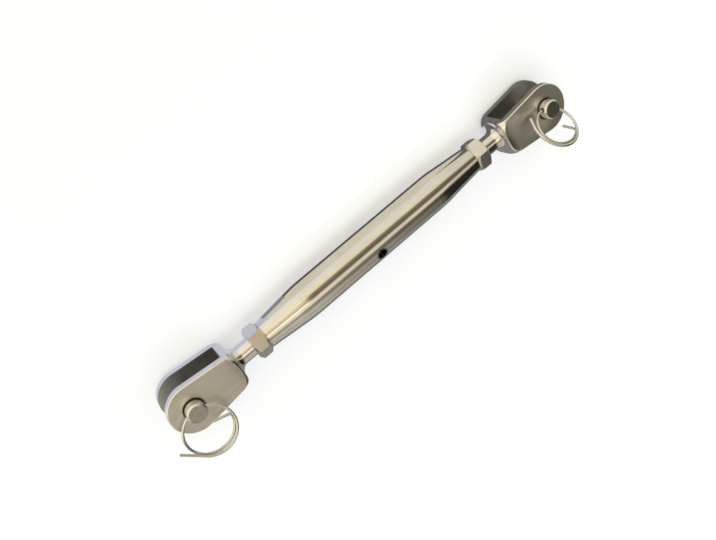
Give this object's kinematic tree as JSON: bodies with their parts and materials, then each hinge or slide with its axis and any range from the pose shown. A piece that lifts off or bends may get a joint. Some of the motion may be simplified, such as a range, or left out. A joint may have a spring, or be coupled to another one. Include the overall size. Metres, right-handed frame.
{
  "type": "shroud adjuster",
  "caption": "Closed-body rigging screw with lock nuts and a slotted fork, clevis pin and split ring at each end.",
  "frame": {"origin": "middle of the turned body, on its axis, at the centre of the cross hole", "axes": "+X along the body towards end b, +Z along the clevis pins away from their heads"},
  "size_m": [0.2089, 0.0296, 0.0334],
  "materials": {
    "polished_body": "polished",
    "nut_steel": "gloss",
    "satin_fork": "satin",
    "pin_steel": "satin",
    "ring_wire": "gloss"
  },
  "bodies": {
    "barrel": {"barrel": "polished_body"},
    "lock_nut_a": {"lock_nut_a": "nut_steel"},
    "lock_nut_b": {"lock_nut_b": "nut_steel"},
    "fork_a": {"fork_a": "satin_fork"},
    "fork_b": {"fork_b": "satin_fork"},
    "pin_a": {"pin_a": "pin_steel"},
    "pin_b": {"pin_b": "pin_steel"},
    "ring_a": {"ring_a": "ring_wire"},
    "ring_b": {"ring_b": "ring_wire"}
  },
  "joints": [
    {"name": "screw_a", "type": "hinge", "parent": "barrel", "child": "lock_nut_a", "pos_m": [0, 0, 0], "axis": [1, 0, 0], "range_deg": [0, 11325.6]},
    {"name": "fork_a_out", "type": "slide", "parent": "lock_nut_a", "child": "fork_a", "axis": [-1, 0, 0], "range_m": [0, 0.03781]},
    {"name": "screw_b", "type": "hinge", "parent": "barrel", "child": "lock_nut_b", "pos_m": [0, 0, 0], "axis": [1, 0, 0], "range_deg": [0, 11325.6]},
    {"name": "fork_b_out", "type": "slide", "parent": "lock_nut_b", "child": "fork_b", "axis": [1, 0, 0], "range_m": [0, 0.03932]},
    {"name": "pin_a_turn", "type": "hinge", "parent": "fork_a", "child": "pin_a", "pos_m": [-0.092, 0, 0], "axis": [0, 0, 1], "continuous": true},
    {"name": "ring_a_swing", "type": "hinge", "parent": "pin_a", "child": "ring_a", "pos_m": [-0.092, 0, 0.01035], "axis": [-0.9962, 0.0872, 0], "range_deg": [-11, 164]},
    {"name": "pin_b_turn", "type": "hinge", "parent": "fork_b", "child": "pin_b", "pos_m": [0.092, 0, 0], "axis": [0, 0, 1], "continuous": true},
    {"name": "ring_b_swing", "type": "hinge", "parent": "pin_b", "child": "ring_b", "pos_m": [0.092, 0, 0.01035], "axis": [-0.8771, 0.4802, 0], "range_deg": [-44, 131]}
  ],
  "couplings": [
    {"joint": "screw_a", "follows": "fork_a_out", "rad_per_m": 5026.5},
    {"joint": "screw_b", "follows": "fork_a_out", "rad_per_m": 5026.5},
    {"joint": "fork_b_out", "follows": "fork_a_out", "ratio": 1}
  ]
}
